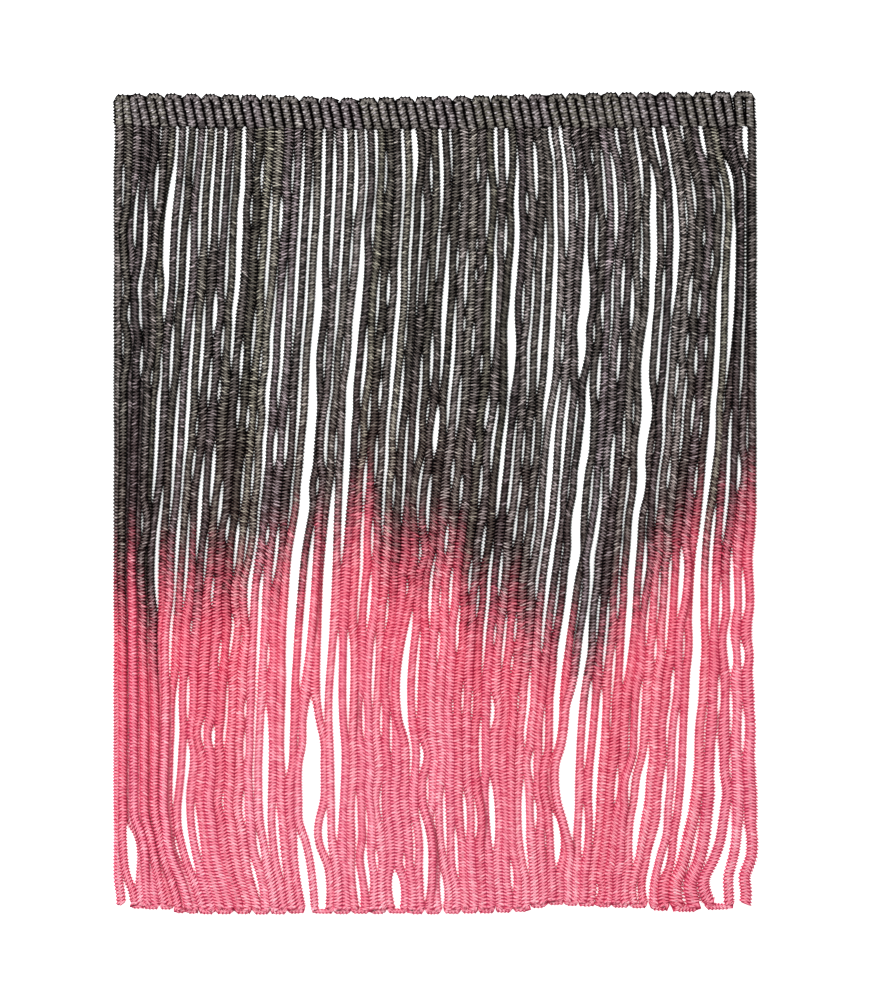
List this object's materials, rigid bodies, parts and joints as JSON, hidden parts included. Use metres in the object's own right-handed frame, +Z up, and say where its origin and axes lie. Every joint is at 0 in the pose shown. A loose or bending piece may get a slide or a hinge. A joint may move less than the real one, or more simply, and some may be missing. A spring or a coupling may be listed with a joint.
{
  "type": "chainette fringe trim",
  "caption": "Cut length of chainette fringe trim lying flat: a ribbed, stitched heading above a row of long soft cord legs with dip-dyed ends.",
  "frame": {"origin": "centre of the trim's outline, on the surface it lies on", "axes": "+X along the trim, +Y from the ends of the legs to the heading, +Z up out of the face"},
  "size_m": [0.1792, 0.2298, 0.0022],
  "materials": {
    "heading_yarn": "soft sheen, charcoal rayon chainette",
    "fringe_yarn": "soft sheen, rayon chainette dip-dyed from charcoal to coral"
  },
  "bodies": {
    "root": {"heading": "heading_yarn", "fringe": "fringe_yarn"}
  },
  "joints": []
}
